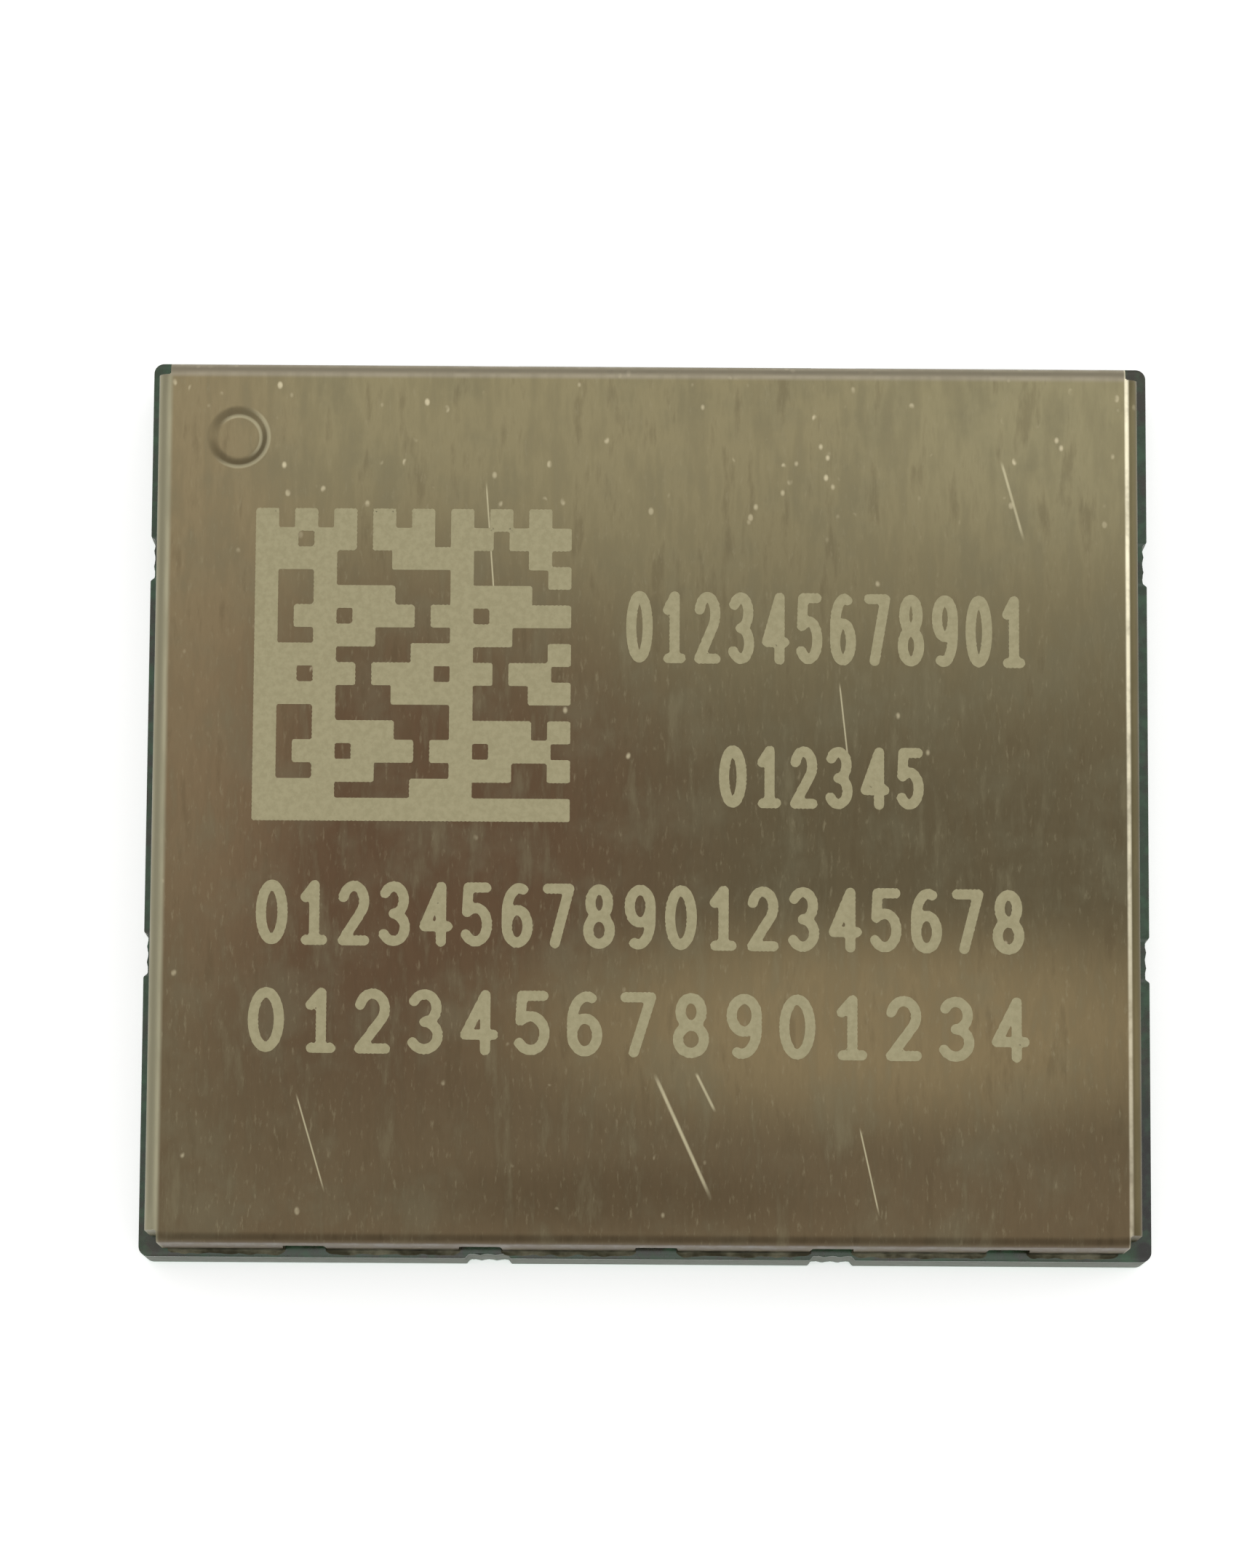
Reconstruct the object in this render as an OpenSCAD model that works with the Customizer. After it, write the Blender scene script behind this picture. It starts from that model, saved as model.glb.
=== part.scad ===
// Surface-mount radio module: a small circuit board with a grid of round lands
// below, a folded sheet-metal shield can soldered on top, and the radio's parts
// on the board inside the can.
// Millimetres. +Z is up, out of the can's top. The origin is the middle of the
// board's underside, the plane that the lands lie in.

/* [Board] */
// Width of the board along X
board_w = 10; // [9.8:0.1:12]
// Depth of the board along Y
board_d = 9; // [8.8:0.1:11]
// Thickness of the board
board_t = 0.8; // [0.5:0.05:1]
// Radius of the board's upright corners
board_corner_r = 0.1; // [0.05:0.01:0.2]
// Width of the scar that a snapped panel tab leaves in the edge
scar_w = 0.46; // [0.3:0.02:0.6]
// Distance between the two scars of a long edge
long_scar_pitch = 3.4; // [3:0.05:3.6]
// Offset of the long edges' scars from the middle, to the right
long_scar_shift = 0.15; // [0:0.01:0.3]
// Distance between the two scars of a short edge
short_scar_pitch = 4; // [3.5:0.1:4.5]
// Offset of the short edges' scars from the middle, to the back
short_scar_shift = 0.5; // [0:0.05:0.6]
// Depth of that scar
scar_depth = 0.045; // [0.02:0.005:0.07]
// Depth of the shallow step between the scar's drill bites
scar_step = 0.03; // [0.01:0.005:0.04]
// Bites of the drill across one scar
scar_bites = 3; // [2:1:4]
// Diameter of one bite
scar_bite_d = 0.22; // [0.16:0.01:0.3]

/* [Lands under the board] */
// Lands in each row along X
land_columns = 8; // [4:1:8]
// Lands in each column along Y
land_rows = 7; // [4:1:7]
// Distance between neighbouring lands
land_pitch = 1.27; // [1:0.01:1.3]
// Diameter of a land
land_d = 0.52; // [0.4:0.01:0.6]
// Thickness of a land, which is also the depth of its opening
land_t = 0.03; // [0.02:0.005:0.05]
// Width of the bare ring round a land
land_ring = 0.03; // [0.02:0.005:0.05]
// Length of the short sides of the pin-one triangle
key_leg = 0.31; // [0.2:0.01:0.35]
// Distance from the board's left edge to that triangle
key_inset_x = 0.1; // [0.08:0.01:0.14]
// Distance from the board's back edge to that triangle
key_inset_y = 0.15; // [0.08:0.01:0.18]
// Diameter of the dent over a filled via
via_d = 0.17; // [0.1:0.01:0.2]
// Depth of that dent
via_depth = 0.015; // [0.01:0.005:0.02]

/* [Shield can] */
// Distance from the board's left edge to the can's wall
can_margin_left = 0.12; // [0.08:0.01:0.2]
// Distance from the board's right edge to the can's wall
can_margin_right = 0.16; // [0.08:0.01:0.2]
// Distance from the board's front edge to the can's wall
can_margin_front = 0.08; // [0.08:0.01:0.2]
// Distance from the board's back edge to the can's wall
can_margin_back = 0.18; // [0.08:0.01:0.2]
// Height of the can from its feet to its top
can_h = 0.87; // [0.84:0.01:1.2]
// Thickness of the sheet
sheet_t = 0.1; // [0.08:0.01:0.12]
// Radius inside the bends
bend_r = 0.01; // [0.01:0.005:0.04]
// Distance from a corner of the can's flat top to the ends of its two walls
corner_relief = 0.01; // [0.005:0.005:0.04]
// Width of a notch in the can's feet
notch_w = 0.4; // [0.3:0.01:0.5]
// Height of a notch
notch_h = 0.45; // [0.2:0.01:0.6]
// Notches along each long wall
long_notches = 5; // [3:2:5]
// Distance between the notches of a long wall
long_notch_pitch = 1.73; // [1.5:0.01:1.8]
// Offset of the long walls' notches from the middle, to the right
long_notch_shift = 0.13; // [0:0.01:0.2]
// Notches along each short wall
short_notches = 4; // [2:2:4]
// Distance between the notches of a short wall
short_notch_pitch = 2; // [1.6:0.01:2.1]
// Offset of the short walls' notches from the middle, to the front
short_notch_shift = 0.47; // [0:0.01:0.5]
// Diameter of the pin-one dimple at the can's top face
dimple_d = 0.6; // [0.4:0.02:0.7]
// Diameter of the dimple's flat floor
dimple_floor_d = 0.44; // [0.2:0.02:0.5]
// Depth of the dimple
dimple_depth = 0.06; // [0.03:0.005:0.07]
// Distance from the can's left wall to the dimple's middle
dimple_x = 0.8; // [0.6:0.01:1]
// Distance from the can's back wall to the dimple's middle
dimple_y = 0.75; // [0.6:0.01:0.9]

/* [Solder under the can] */
// Thickness of the solder under the can's feet
solder_t = 0.03; // [0.02:0.005:0.05]
// Width of the solder's toe beside a wall
solder_toe = 0.05; // [0.03:0.005:0.07]
// Height that the solder climbs up a wall
solder_climb = 0.08; // [0.06:0.01:0.15]

/* [Laser marking] */
// Thickness of the marking
mark_t = 0.008; // [0.005:0.001:0.01]
// Side of the square code field
code_side = 3.09; // [2.4:0.01:3.2]
// Cells along one side of the code field
code_cells = 16; // [12:2:16]
// Gap between marked cells of neighbouring rows
code_gap = 0.01; // [0.005:0.001:0.02]
// From the can's middle to the code field's middle along X
code_x = -2.31; // [-2.5:0.01:-2.2]
// From the can's middle to the code field's middle along Y
code_y = 1.34; // [1.2:0.01:1.4]
// Height of the bars in the top line
top_bar_h = 0.72; // [0.5:0.01:0.8]
// Height of the bars in the other lines
bar_h = 0.62; // [0.4:0.01:0.7]
// Gap between the bars of a line
bar_gap = 0.1; // [0.05:0.01:0.15]
// From the can's middle to the middle of the two short lines along X
short_lines_x = 1.73; // [1.7:0.01:1.8]
// Distance between the bars of the two short lines
short_line_pitch = 0.34; // [0.3:0.01:0.36]
// From the can's middle to the middle of the two long lines along X
long_lines_x = -0.09; // [-0.2:0.01:0.2]
// Bars in the first line
line_1_bars = 12; // [6:1:12]
// From the can's middle to the middle of the first line along Y
line_1_y = 1.73; // [1.6:0.01:1.9]
// Bars in the second line
line_2_bars = 6; // [3:1:8]
// From the can's middle to the middle of the second line along Y
line_2_y = 0.23; // [0.1:0.01:0.4]
// Bars in the third line
line_3_bars = 19; // [12:1:19]
// Distance between the bars of the third line
line_3_pitch = 0.4; // [0.3:0.01:0.44]
// From the can's middle to the middle of the third line along Y
line_3_y = -1.15; // [-1.2:0.01:-1]
// Bars in the fourth line
line_4_bars = 15; // [10:1:15]
// Distance between the bars of the fourth line
line_4_pitch = 0.52; // [0.4:0.01:0.55]
// From the can's middle to the middle of the fourth line along Y
line_4_y = -2.2; // [-2.5:0.01:-2.1]

/* [Radio chip] */
// Middle of the radio chip along X
radio_x = 0.6; // [0.55:0.01:0.65]
// Middle of the radio chip along Y
radio_y = -0.4; // [-0.42:0.01:-0.38]
// Side of the radio chip along X
radio_w = 4.5; // [3.6:0.1:4.7]
// Side of the radio chip along Y
radio_d = 4.2; // [3.6:0.1:4.4]
// Thickness of the radio chip
radio_t = 0.4; // [0.3:0.05:0.5]
// Distance between the chip's solder balls
ball_pitch = 0.65; // [0.5:0.05:0.8]
// Widest diameter of a solder ball
ball_d = 0.28; // [0.2:0.02:0.34]
// Height of a squashed solder ball
ball_h = 0.14; // [0.1:0.01:0.18]

/* [Small packages] */
// Side of the square front-end chip
front_end_w = 2; // [1.6:0.1:2]
// Thickness of the front-end chip
front_end_t = 0.45; // [0.35:0.05:0.6]
// Pads along two sides of the front-end chip
front_end_pad_n = 4; // [3:1:5]
// Length of the antenna switch
switch_l = 1.1; // [0.9:0.1:1.2]
// Width of the antenna switch
switch_w = 0.7; // [0.6:0.05:0.8]
// Thickness of the antenna switch
switch_t = 0.4; // [0.3:0.05:0.5]
// Pads along the two long sides of the antenna switch
switch_pad_n = 3; // [2:1:3]
// Width of a pad under these two packages
package_pad_w = 0.2; // [0.15:0.01:0.22]
// Length of a pad under these two packages
package_pad_l = 0.22; // [0.15:0.01:0.24]
// Thickness of the pads under all small packages
package_pad_t = 0.03; // [0.02:0.01:0.05]
// Length of the band filter
filter_l = 1.6; // [1.4:0.1:1.7]
// Width of the band filter
filter_w = 0.8; // [0.7:0.05:0.9]
// Thickness of the band filter
filter_t = 0.6; // [0.4:0.05:0.65]
// Length of the crystal's ceramic case
crystal_l = 2; // [1.6:0.1:2]
// Width of the crystal's case
crystal_w = 1.6; // [1.2:0.1:1.7]
// Height of the crystal's ceramic case without its lid
crystal_case_t = 0.36; // [0.3:0.02:0.5]
// Thickness of the crystal's lid
crystal_lid_t = 0.08; // [0.05:0.01:0.12]
// Width of the ceramic rim round the crystal's lid
crystal_rim = 0.1; // [0.05:0.01:0.15]
// Width of a pad under the crystal
crystal_pad_w = 0.5; // [0.3:0.05:0.6]
// Depth of a pad under the crystal
crystal_pad_d = 0.45; // [0.3:0.05:0.45]

/* [Chip parts] */
// Length of a power inductor
inductor_l = 2; // [1.6:0.1:2.1]
// Width of a power inductor
inductor_w = 1.2; // [0.8:0.05:1.25]
// Height of a power inductor
inductor_t = 0.65; // [0.5:0.05:0.65]
// Length of a large capacitor
large_l = 1; // [0.9:0.05:1.05]
// Width and height of a large capacitor
large_w = 0.5; // [0.4:0.05:0.55]
// Large capacitors in the front row
front_large_n = 4; // [1:1:4]
// Large capacitors in the back row
back_large_n = 3; // [1:1:3]
// Length of a small capacitor or resistor
small_l = 0.6; // [0.5:0.05:0.65]
// Width and height of a small capacitor
small_w = 0.3; // [0.2:0.05:0.35]
// Height of a resistor without its coat
resistor_t = 0.2; // [0.15:0.01:0.25]
// Thickness of a resistor's dark coat
coat_t = 0.03; // [0.02:0.005:0.05]
// Share of a chip part's length that each end cap takes
cap_share = 0.24; // [0.15:0.01:0.3]
// Amount by which an end cap stands proud of the body
cap_proud = 0.01; // [0.005:0.005:0.02]
// Clear way between the radio chip and its neighbours
lane = 0.15; // [0.1:0.01:0.2]
// Distance between the middles of neighbouring small parts
small_pitch = 0.66; // [0.66:0.01:0.7]

/* [Hidden] */
$fn = 48;
over = 0.1; // how far a cutter runs past the face it cuts

can_w = board_w - can_margin_left - can_margin_right;
can_d = board_d - can_margin_front - can_margin_back;
// Middle of the can on the board
can_at = [can_margin_left - can_margin_right, can_margin_front - can_margin_back] / 2;
outer_bend = bend_r + sheet_t;
foot_z = board_t + solder_t;
can_top = foot_z + can_h;
// The flat of the can's top, between its bends
top_w = can_w - 2 * outer_bend;
top_d = can_d - 2 * outer_bend;
long_wall_l = top_w - 2 * corner_relief;
short_wall_l = top_d - 2 * corner_relief;
// The dimple and the notches are placed from the middle of the can
dimple_at = [dimple_x - can_w / 2, can_d / 2 - dimple_y];

long_notch_x = [for (i = [0:long_notches - 1])
    long_notch_shift + (i - (long_notches - 1) / 2) * long_notch_pitch];
short_notch_y = [for (i = [0:short_notches - 1])
    (i - (short_notches - 1) / 2) * short_notch_pitch - short_notch_shift];
long_scar_x = [for (side = [-1, 1]) long_scar_shift + side * long_scar_pitch / 2];
short_scar_y = [for (side = [-1, 1]) short_scar_shift + side * short_scar_pitch / 2];

// The small parts line up with the sides of the radio chip, in columns and rows round it
radio_at = [radio_x, radio_y];
radio_left = radio_at.x - radio_w / 2;
radio_right = radio_at.x + radio_w / 2;
radio_front = radio_at.y - radio_d / 2;
radio_back = radio_at.y + radio_d / 2;
resistor_x = radio_left - lane - small_w / 2;
left_column_w = max(front_end_w, crystal_l, filter_l);
left_column_x = resistor_x - small_w / 2 - lane - left_column_w / 2;
front_end_at = [left_column_x, radio_back - front_end_w / 2];
crystal_at = [left_column_x, front_end_at.y - (front_end_w + crystal_w) / 2 - lane];
filter_at = [left_column_x, radio_back + 2 * lane + small_w + filter_w / 2];
switch_at = [radio_left + switch_l / 2, filter_at.y];
package_pad = [package_pad_w, package_pad_l, package_pad_t];
crystal_lid_size = [crystal_l - 2 * crystal_rim, crystal_w - 2 * crystal_rim, crystal_lid_t];
inductor_x = radio_right + lane + inductor_w / 2;
inductor_y = [for (side = [-1, 1]) radio_at.y + side * (inductor_l + lane) / 2];
front_large_at = [for (i = [0:front_large_n - 1])
    [radio_left + large_l / 2 + i * (large_l + lane), radio_front - 2 * lane - small_w - large_w / 2]];
back_large_at = [for (i = [0:back_large_n - 1])
    [switch_at.x + (switch_l + large_l) / 2 + lane + i * (large_l + lane), filter_at.y]];
large_at = concat(front_large_at, back_large_at);
small_row_y = [
    radio_front - lane - small_w / 2,
    radio_back + lane + small_w / 2,
    filter_at.y + filter_w / 2 + lane + small_w / 2
];
small_row_n = floor((radio_w - small_l) / small_pitch) + 1;
small_at = [for (y = small_row_y)
    for (i = [0:small_row_n - 1]) [radio_left + small_l / 2 + i * small_pitch, y]];
resistor_n = floor((radio_d - small_l) / small_pitch) + 1;
resistor_at = [for (i = [0:resistor_n - 1]) [resistor_x, radio_front + small_l / 2 + i * small_pitch]];

board_green = [0.02, 0.36, 0.2];
land_gold = [0.95, 0.87, 0.6];
can_metal = [0.47, 0.43, 0.32];
mark_pale = [0.65, 0.62, 0.48];
solder_grey = [0.7, 0.7, 0.68];
package_black = [0.09, 0.09, 0.1];
tin = [0.78, 0.78, 0.76];

// ---- Helpers ----

module box_at(at, size) {
    translate([at.x - size.x / 2, at.y - size.y / 2, at.z])
        cube(size);
}

module rounded_slab(size, r) {
    linear_extrude(size.z) {
        square([size.x - 2 * r, size.y], center = true);
        square([size.x, size.y - 2 * r], center = true);
        for (x = [-1, 1])
            for (y = [-1, 1])
                translate([x * (size.x / 2 - r), y * (size.y / 2 - r)])
                    circle(r);
    }
}

// What is drawn for the front wall or edge, and its mirror image for the back one.
module on_long_sides() {
    for (side = [0, 1])
        mirror([0, side, 0])
            children();
}

// What is drawn for a front wall, turned to the right-hand one, and its image for the left one.
module on_short_sides() {
    for (side = [0, 1])
        mirror([side, 0, 0])
            rotate(90)
                children();
}

module land_grid() {
    for (i = [0:land_columns - 1])
        for (j = [0:land_rows - 1])
            translate([(i - (land_columns - 1) / 2) * land_pitch, (j - (land_rows - 1) / 2) * land_pitch])
                children();
}

// The pin-one triangle's right angle lies in the corner under the can's dimple.
module key_triangle(grow) {
    corner = [key_inset_x - board_w / 2 - grow, board_d / 2 - key_inset_y + grow];
    leg = key_leg + (2 + sqrt(2)) * grow;
    translate(corner)
        polygon([[0, 0], [leg, 0], [0, -leg]]);
}

// Pads under a package's two opposite sides, n to a side.
module pad_rows(at, size, n, pad) {
    for (side = [-1, 1])
        for (i = [0:n - 1])
            box_at([at.x + size.x * ((i + 0.5) / n - 0.5), at.y + side * (size.y - pad.y) / 2, board_t], pad);
}

// The middle of a chip part between its end caps. "along" is its length's axis: 0 for X, 90 for Y.
module chip_body(at, size, along) {
    translate([at.x, at.y, board_t])
        rotate(along)
            box_at([0, 0, cap_proud],
                   [size.x * (1 - 2 * cap_share), size.y - 2 * cap_proud, size.z - 2 * cap_proud]);
}

module chip_end_caps(at, size, along) {
    cap = size.x * cap_share;
    for (side = [-1, 1])
        translate([at.x, at.y, board_t])
            rotate(along)
                box_at([side * (size.x - cap) / 2, 0, 0], [cap, size.y, size.z]);
}

// ---- Board ----

module circuit_board() {
    color(board_green)
        difference() {
            rounded_slab([board_w, board_d, board_t], board_corner_r);
            land_grid()
                translate([0, 0, -over])
                    cylinder(d = land_d + 2 * land_ring, h = over + land_t);
            translate([0, 0, -over])
                linear_extrude(over + land_t)
                    key_triangle(land_ring);
            via_dents();
            on_long_sides()
                for (x = long_scar_x)
                    translate([x, -board_d / 2])
                        tab_scar();
            on_short_sides()
                for (y = short_scar_y)
                    translate([y, -board_w / 2])
                        tab_scar();
        }
}

// Dents lie between the lands of the outer rows, nearer to the edge in turn.
module via_dents() {
    edge_x = (land_columns - 1) / 2 * land_pitch;
    edge_y = (land_rows - 1) / 2 * land_pitch;
    step = land_d / 2;
    for (side = [-1, 1]) {
        for (i = [1:land_columns - 1])
            via_dent([(i - land_columns / 2) * land_pitch, side * (edge_y + (i % 2) * step)]);
        for (j = [1:land_rows - 1])
            via_dent([side * (edge_x + (j % 2) * step / 2), (j - land_rows / 2) * land_pitch]);
    }
    for (i = [1:land_columns - 1])
        for (j = [1:land_rows - 1])
            if ((i + j) % 2 == 0)
                via_dent([(i - land_columns / 2) * land_pitch, (j - land_rows / 2) * land_pitch]);
}

module via_dent(at) {
    translate([at.x, at.y, -over])
        cylinder(d = via_d, h = over + via_depth);
}

// What is left of a perforated tab: a row of drill bites across a shallow step.
module tab_scar() {
    bite_pitch = scar_w / scar_bites;
    translate([-scar_w / 2, -over, -over])
        cube([scar_w, over + scar_step, board_t + 2 * over]);
    for (i = [0:scar_bites - 1])
        translate([(i + 0.5) * bite_pitch - scar_w / 2, scar_depth - scar_bite_d / 2, -over])
            cylinder(d = scar_bite_d, h = board_t + 2 * over);
}

module lands() {
    color(land_gold)
        land_grid()
            cylinder(d = land_d, h = land_t);
}

module pin_one_land() {
    color(land_gold)
        linear_extrude(land_t)
            key_triangle(0);
}

// ---- Shield can ----

// The wall's section: X runs inwards from its outer face and Y up from its foot.
module wall_section() {
    square([sheet_t, can_h - outer_bend]);
}

module bend_section() {
    translate([outer_bend, can_h - outer_bend])
        intersection() {
            difference() {
                circle(outer_bend);
                circle(bend_r);
            }
            translate([-outer_bend, 0])
                square(outer_bend);
        }
}

// A section drawn along the wall on the -Y side, half_depth from the middle.
module along_wall(half_depth, length) {
    translate([0, -half_depth, foot_z])
        rotate([90, 0, 90])
            linear_extrude(length, center = true)
                children();
}

module notch(x, half_depth) {
    translate([x - notch_w / 2, -half_depth - over, foot_z - over])
        cube([notch_w, sheet_t + 2 * over, notch_h + over]);
}

// One blank folded down on four sides. The walls don't meet, so the corners stay open.
module shield_can() {
    color(can_metal)
        translate(can_at)
            difference() {
                union() {
                    box_at([0, 0, can_top - sheet_t], [top_w, top_d, sheet_t]);
                    on_long_sides()
                        folded_wall(can_d / 2, long_wall_l);
                    on_short_sides()
                        folded_wall(can_w / 2, short_wall_l);
                    dimple_bulge();
                }
                dimple_hollow();
                on_long_sides()
                    for (x = long_notch_x)
                        notch(x, can_d / 2);
                on_short_sides()
                    for (y = short_notch_y)
                        notch(y, can_w / 2);
            }
}

module folded_wall(half_depth, length) {
    along_wall(half_depth, length)
        wall_section();
    along_wall(half_depth, length)
        bend_section();
}

module dimple_hollow() {
    slope = (dimple_d - dimple_floor_d) / dimple_depth;
    translate([dimple_at.x, dimple_at.y, can_top - dimple_depth])
        cylinder(d1 = dimple_floor_d, d2 = dimple_d + slope * over, h = dimple_depth + over);
}

// The sheet pushed down under the hollow, so that it keeps its thickness.
module dimple_bulge() {
    translate([dimple_at.x, dimple_at.y, can_top - sheet_t - dimple_depth])
        cylinder(d1 = dimple_floor_d, d2 = dimple_d, h = dimple_depth);
}

// ---- Solder under the can's feet ----

// Solder under one stretch of a foot. It cups the sheet and climbs both of its faces.
module solder_run(half_depth, from, to) {
    translate([(from + to) / 2, -half_depth, board_t])
        rotate([90, 0, 90])
            linear_extrude(to - from, center = true)
                polygon([
                    [-solder_toe, 0],
                    [sheet_t + solder_toe, 0],
                    [sheet_t, solder_climb],
                    [sheet_t, solder_t],
                    [0, solder_t],
                    [0, solder_climb]
                ]);
}

// Runs between the notches of one wall, from one end of it to the other.
module solder_runs(half_depth, half_length, notches) {
    starts = concat([-half_length], [for (x = notches) x + notch_w / 2]);
    ends = concat([for (x = notches) x - notch_w / 2], [half_length]);
    for (i = [0:len(starts) - 1])
        solder_run(half_depth, starts[i], ends[i]);
}

// The solder stays clear of the open corners, where two runs would meet.
module shield_solder() {
    color(solder_grey)
        translate(can_at) {
            on_long_sides()
                solder_runs(can_d / 2, long_wall_l / 2 - solder_toe, long_notch_x);
            on_short_sides()
                solder_runs(can_w / 2, short_wall_l / 2 - solder_toe, short_notch_y);
        }
}

// ---- Laser marking on the can's top ----

// A made-up field of cells that holds no data: solid left and front borders, an alternating
// right and back border, and cells between them by a rule.
function cell_is_marked(i, j) =
    i == 0 || j == 0 ? true
    : i == code_cells - 1 ? j % 2 == 0
    : j == code_cells - 1 ? i % 2 == 0
    : (i * i + 3 * i * j + 5 * j) % 7 < 3;

// Marked cells of row j that follow one another from column i on.
function run_from(i, j) = i < code_cells && cell_is_marked(i, j) ? 1 + run_from(i + 1, j) : 0;

module code_field() {
    pitch = code_side / code_cells;
    for (j = [0:code_cells - 1])
        for (i = [0:code_cells - 1])
            if (cell_is_marked(i, j) && (i == 0 || !cell_is_marked(i - 1, j)))
                translate([code_x + i * pitch - code_side / 2, code_y + j * pitch - code_side / 2, can_top])
                    cube([run_from(i, j) * pitch, pitch - code_gap, mark_t]);
}

// Plain bars stand for a line of characters.
module marked_line(x, y, height, bars, pitch) {
    bar = [pitch - bar_gap, height, mark_t];
    for (i = [0:bars - 1])
        box_at([x + (i - (bars - 1) / 2) * pitch, y, can_top], bar);
}

module laser_marking() {
    color(mark_pale)
        translate(can_at) {
            code_field();
            marked_lines();
        }
}

module marked_lines() {
    marked_line(short_lines_x, line_1_y, top_bar_h, line_1_bars, short_line_pitch);
    marked_line(short_lines_x, line_2_y, bar_h, line_2_bars, short_line_pitch);
    marked_line(long_lines_x, line_3_y, bar_h, line_3_bars, line_3_pitch);
    marked_line(long_lines_x, line_4_y, bar_h, line_4_bars, line_4_pitch);
}

// ---- Chips ----

module radio_chip() {
    color(package_black)
        box_at([radio_at.x, radio_at.y, board_t + ball_h], [radio_w, radio_d, radio_t]);
}

module radio_chip_balls() {
    columns = floor((radio_w - ball_d) / ball_pitch);
    rows = floor((radio_d - ball_d) / ball_pitch);
    color(solder_grey)
        for (i = [0:columns - 1])
            for (j = [0:rows - 1])
                translate([radio_at.x + (i - (columns - 1) / 2) * ball_pitch,
                           radio_at.y + (j - (rows - 1) / 2) * ball_pitch, board_t])
                    squashed_ball();
}

module squashed_ball() {
    rotate_extrude()
        intersection() {
            translate([0, ball_h / 2])
                circle(ball_d / 2);
            square([ball_d / 2, ball_h]);
        }
}

module front_end_chip() {
    color(package_black)
        box_at([front_end_at.x, front_end_at.y, board_t + package_pad_t],
               [front_end_w, front_end_w, front_end_t]);
}

module front_end_pads() {
    middle_pad_w = front_end_w / 2;
    color(tin) {
        pad_rows(front_end_at, [front_end_w, front_end_w], front_end_pad_n, package_pad);
        box_at([front_end_at.x, front_end_at.y, board_t], [middle_pad_w, middle_pad_w, package_pad_t]);
    }
}

module antenna_switch() {
    color(package_black)
        box_at([switch_at.x, switch_at.y, board_t + package_pad_t], [switch_l, switch_w, switch_t]);
}

module antenna_switch_pads() {
    color(tin)
        pad_rows(switch_at, [switch_l, switch_w], switch_pad_n, package_pad);
}

// ---- Filter and crystal ----

module filter_block() {
    color("linen")
        chip_body(filter_at, [filter_l, filter_w, filter_t], 0);
}

module filter_terminals() {
    color(tin)
        chip_end_caps(filter_at, [filter_l, filter_w, filter_t], 0);
}

module crystal_case() {
    color("wheat")
        difference() {
            box_at([crystal_at.x, crystal_at.y, board_t + package_pad_t],
                   [crystal_l, crystal_w, crystal_case_t]);
            for (x = [-1, 1])
                for (y = [-1, 1])
                    translate([crystal_at.x + x * crystal_l / 2, crystal_at.y + y * crystal_w / 2,
                               board_t + package_pad_t - over])
                        cylinder(r = crystal_rim, h = crystal_case_t + 2 * over);
        }
}

module crystal_lid() {
    color("silver")
        translate([crystal_at.x, crystal_at.y, board_t + package_pad_t + crystal_case_t])
            rounded_slab(crystal_lid_size, crystal_rim);
}

module crystal_pads() {
    color(tin)
        pad_rows(crystal_at, crystal_lid_size, 2, [crystal_pad_w, crystal_pad_d, package_pad_t]);
}

// ---- Chip parts ----

module inductor_cores() {
    color("dimgray")
        for (y = inductor_y)
            chip_body([inductor_x, y], [inductor_l, inductor_w, inductor_t], 90);
}

module inductor_end_caps() {
    color(tin)
        for (y = inductor_y)
            chip_end_caps([inductor_x, y], [inductor_l, inductor_w, inductor_t], 90);
}

module large_capacitor_bodies() {
    color("tan")
        for (at = large_at)
            chip_body(at, [large_l, large_w, large_w], 0);
}

module large_capacitor_end_caps() {
    color(tin)
        for (at = large_at)
            chip_end_caps(at, [large_l, large_w, large_w], 0);
}

module small_capacitor_bodies() {
    color("peru")
        for (at = small_at)
            chip_body(at, [small_l, small_w, small_w], 0);
}

module small_capacitor_end_caps() {
    color(tin)
        for (at = small_at)
            chip_end_caps(at, [small_l, small_w, small_w], 0);
}

module resistor_bodies() {
    color("whitesmoke")
        for (at = resistor_at)
            chip_body(at, [small_l, small_w, resistor_t], 90);
}

module resistor_coats() {
    coat = [small_l * (1 - 2 * cap_share), small_w - 2 * cap_proud, coat_t];
    color(package_black)
        for (at = resistor_at)
            translate([at.x, at.y, board_t + resistor_t - cap_proud])
                rotate(90)
                    box_at([0, 0, 0], coat);
}

module resistor_end_caps() {
    color(tin)
        for (at = resistor_at)
            chip_end_caps(at, [small_l, small_w, resistor_t], 90);
}

circuit_board();
lands();
pin_one_land();
shield_solder();
shield_can();
laser_marking();
radio_chip();
radio_chip_balls();
front_end_chip();
front_end_pads();
antenna_switch();
antenna_switch_pads();
filter_block();
filter_terminals();
crystal_case();
crystal_lid();
crystal_pads();
inductor_cores();
inductor_end_caps();
large_capacitor_bodies();
large_capacitor_end_caps();
small_capacitor_bodies();
small_capacitor_end_caps();
resistor_bodies();
resistor_coats();
resistor_end_caps();
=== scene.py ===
import math

import bmesh
import bpy
import numpy as np
from mathutils import Matrix, Vector


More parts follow.
